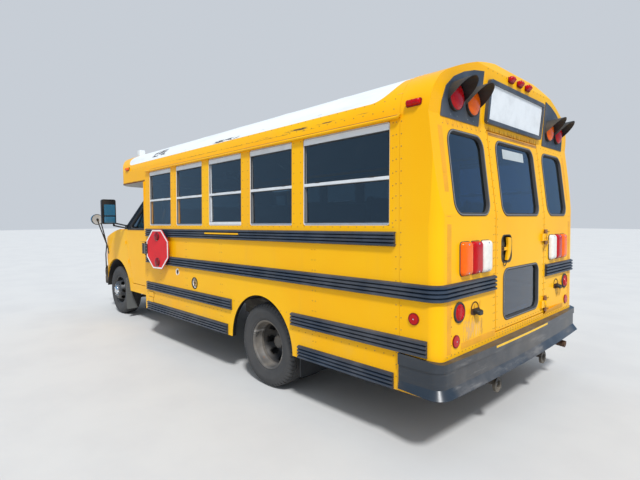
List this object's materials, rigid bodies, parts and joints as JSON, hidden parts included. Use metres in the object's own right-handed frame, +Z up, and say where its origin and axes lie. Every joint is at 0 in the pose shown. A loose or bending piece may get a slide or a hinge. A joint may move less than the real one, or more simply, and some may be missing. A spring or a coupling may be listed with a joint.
{
  "type": "short school bus",
  "caption": "Short yellow school bus on a cutaway van chassis: hollow body with windows, hinged doors, hood and stop arm, steered front wheels and twin rear wheels.",
  "frame": {"origin": "on the ground under the middle of the bus", "axes": "+X forward, +Y to the bus's left, +Z up"},
  "size_m": [6.8138, 2.663, 2.6192],
  "materials": {
    "body_yellow": "gloss school-bus yellow paint",
    "roof_white": "white paint",
    "trim_black": "satin black paint",
    "chassis_black": "dull chassis paint with rust",
    "bumper_grey": "scuffed dark grey paint",
    "window_frame": "mill finish",
    "tinted_glass": "dark tint",
    "lamp_lens": "red, amber and clear lenses",
    "headlamp_lens": "clear",
    "sign_white": "blank face in a dark frame",
    "stop_red": "red reflective face with a white border",
    "tyre_rubber": "worn and dusty",
    "wheel_black": "satin black with dust",
    "flap_rubber": "grey with dust",
    "seat_vinyl": "dark vinyl",
    "cab_plastic": "grained plastic",
    "bare_steel": "brown rusty steel"
  },
  "bodies": {
    "bus_body": {"frame_rails": "chassis_black", "crossmembers": "chassis_black", "rear_axle": "chassis_black", "front_suspension": "chassis_black", "engine": "chassis_black", "fuel_tank": "chassis_black", "exhaust_pipe": "bare_steel", "body_floor": "chassis_black", "left_side_wall": "body_yellow", "right_side_wall": "body_yellow", "rear_wall": "body_yellow", "roof": "roof_white", "front_cap": "body_yellow", "side_windows": "window_frame", "body_glass": "tinted_glass", "rub_rails": "trim_black", "corner_rails": "trim_black", "rear_bumper": "bumper_grey", "warning_lamps": "trim_black", "signs": "sign_white", "lamps": "lamp_lens", "cab_shell": "body_yellow", "cab_floor": "chassis_black", "front_fenders": "body_yellow", "grille": "cab_plastic", "headlamps": "headlamp_lens", "front_bumper": "bumper_grey", "dashboard": "cab_plastic", "seats": "seat_vinyl", "mirrors": "trim_black", "mud_flaps": "flap_rubber"},
    "rear_door": {"rear_door": "body_yellow", "rear_door_glass": "tinted_glass"},
    "driver_door": {"driver_door": "body_yellow", "driver_door_glass": "tinted_glass"},
    "entrance_door_front": {"entrance_door_front": "trim_black"},
    "entrance_door_rear": {"entrance_door_rear": "trim_black"},
    "hood": {"hood": "body_yellow"},
    "stop_arm": {"stop_arm": "stop_red"},
    "left_knuckle": {"left_knuckle": "chassis_black"},
    "front_left_wheel": {"front_left_rim": "wheel_black", "front_left_tyre": "tyre_rubber"},
    "rear_left_wheels": {"rear_left_rims": "wheel_black", "rear_left_tyres": "tyre_rubber"},
    "right_knuckle": {"right_knuckle": "chassis_black"},
    "front_right_wheel": {"front_right_rim": "wheel_black", "front_right_tyre": "tyre_rubber"},
    "rear_right_wheels": {"rear_right_rims": "wheel_black", "rear_right_tyres": "tyre_rubber"}
  },
  "joints": [
    {"name": "rear_door_hinge", "type": "hinge", "parent": "bus_body", "child": "rear_door", "pos_m": [-3.31782, -0.464, 1.05168], "axis": [0.0122, 0, 0.9999], "range_deg": [0, 110]},
    {"name": "driver_door_hinge", "type": "hinge", "parent": "bus_body", "child": "driver_door", "pos_m": [2.10405, 1.019, 0.92544], "axis": [-0.0122, 0, -0.9999], "range_deg": [0, 70]},
    {"name": "entrance_front_hinge", "type": "hinge", "parent": "bus_body", "child": "entrance_door_front", "pos_m": [1.72888, -1.233, 1.16004], "axis": [0.0122, 0, 0.9999], "range_deg": [0, 90]},
    {"name": "entrance_rear_hinge", "type": "hinge", "parent": "bus_body", "child": "entrance_door_rear", "pos_m": [0.93694, -1.233, 1.16971], "axis": [-0.0122, 0, -0.9999], "range_deg": [0, 90]},
    {"name": "hood_hinge", "type": "hinge", "parent": "bus_body", "child": "hood", "pos_m": [2.40306, 0, 1.33381], "axis": [0, -1, 0], "range_deg": [0, 60]},
    {"name": "stop_arm_hinge", "type": "hinge", "parent": "bus_body", "child": "stop_arm", "pos_m": [0.62245, 1.322, 1.13155], "axis": [-0.0122, 0, -0.9999], "range_deg": [0, 97]},
    {"name": "left_steering", "type": "hinge", "parent": "bus_body", "child": "left_knuckle", "pos_m": [2.4923, 0.745, 0.371], "axis": [0.0122, 0, 0.9999], "range_deg": [-35, 35]},
    {"name": "right_steering", "type": "hinge", "parent": "bus_body", "child": "right_knuckle", "pos_m": [2.4923, -0.745, 0.371], "axis": [0.0122, 0, 0.9999], "range_deg": [-35, 35]},
    {"name": "front_left_wheel_spin", "type": "hinge", "parent": "left_knuckle", "child": "front_left_wheel", "pos_m": [2.4923, 0.873, 0.371], "axis": [0, 1, 0], "continuous": true},
    {"name": "rear_left_wheels_spin", "type": "hinge", "parent": "bus_body", "child": "rear_left_wheels", "pos_m": [-1.547, 0.921, 0.371], "axis": [0, 1, 0], "continuous": true},
    {"name": "front_right_wheel_spin", "type": "hinge", "parent": "right_knuckle", "child": "front_right_wheel", "pos_m": [2.4923, -0.873, 0.371], "axis": [0, 1, 0], "continuous": true},
    {"name": "rear_right_wheels_spin", "type": "hinge", "parent": "bus_body", "child": "rear_right_wheels", "pos_m": [-1.547, -0.921, 0.371], "axis": [0, 1, 0], "continuous": true}
  ],
  "couplings": [
    {"joint": "entrance_rear_hinge", "follows": "entrance_front_hinge", "ratio": 1},
    {"joint": "right_steering", "follows": "left_steering", "ratio": 1}
  ]
}
